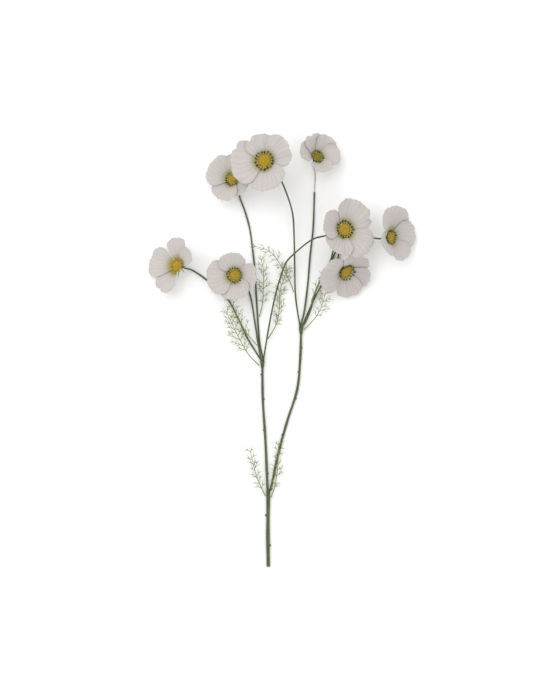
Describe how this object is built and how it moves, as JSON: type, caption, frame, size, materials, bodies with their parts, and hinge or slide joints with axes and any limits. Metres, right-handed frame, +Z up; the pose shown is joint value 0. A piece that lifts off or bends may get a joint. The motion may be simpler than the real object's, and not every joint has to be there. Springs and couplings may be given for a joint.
{
  "type": "artificial cosmos flower spray",
  "caption": "Long cut spray of white cup-shaped cosmos blooms with yellow eyes on a forked green stem with feathery fronds, lying flat.",
  "frame": {"origin": "middle of the footprint, on the surface that the spray lies on", "axes": "+Z up out of the surface, +Y from the cut end of the stem towards the blooms, +X across the spray"},
  "size_m": [0.3956, 0.6524, 0.0798],
  "materials": {
    "petal": "matte thin cloth, warm white with fine ribs",
    "eye": "knobbly golden yellow with dark anthers",
    "stem": "satin olive green",
    "frond": "matte yellow green"
  },
  "bodies": {
    "root": {"main_stem": "stem", "right_branch": "stem", "bloom_1_stalk": "stem", "bloom_1_centre": "eye", "bloom_1_petal_1": "petal", "bloom_1_petal_2": "petal", "bloom_1_petal_3": "petal", "bloom_1_petal_4": "petal", "bloom_2_stalk": "stem", "bloom_2_centre": "eye", "bloom_2_petal_1": "petal", "bloom_2_petal_2": "petal", "bloom_2_petal_3": "petal", "bloom_2_petal_4": "petal", "bloom_3_stalk": "stem", "bloom_3_centre": "eye", "bloom_3_petal_1": "petal", "bloom_3_petal_2": "petal", "bloom_3_petal_3": "petal", "bloom_3_petal_4": "petal", "bloom_3_petal_5": "petal", "bloom_4_stalk": "stem", "bloom_4_centre": "eye", "bloom_4_petal_1": "petal", "bloom_4_petal_2": "petal", "bloom_4_petal_3": "petal", "bloom_4_petal_4": "petal", "bloom_5_stalk": "stem", "bloom_5_centre": "eye", "bloom_5_petal_1": "petal", "bloom_5_petal_2": "petal", "bloom_5_petal_3": "petal", "bloom_5_petal_4": "petal", "bloom_6_stalk": "stem", "bloom_6_centre": "eye", "bloom_6_petal_1": "petal", "bloom_6_petal_2": "petal", "bloom_6_petal_3": "petal", "bloom_6_petal_4": "petal", "bloom_7_stalk": "stem", "bloom_7_centre": "eye", "bloom_7_petal_1": "petal", "bloom_7_petal_2": "petal", "bloom_7_petal_3": "petal", "bloom_7_petal_4": "petal", "bloom_8_stalk": "stem", "bloom_8_centre": "eye", "bloom_8_petal_1": "petal", "bloom_8_petal_2": "petal", "bloom_8_petal_3": "petal", "bloom_8_petal_4": "petal", "frond_left_low": "frond", "frond_left_high": "frond", "frond_fork_right": "frond", "frond_centre": "eye", "frond_long": "frond", "frond_right_low": "frond", "frond_right_high": "frond", "frond_stem_left": "frond", "frond_stem_right": "frond"}
  },
  "joints": []
}
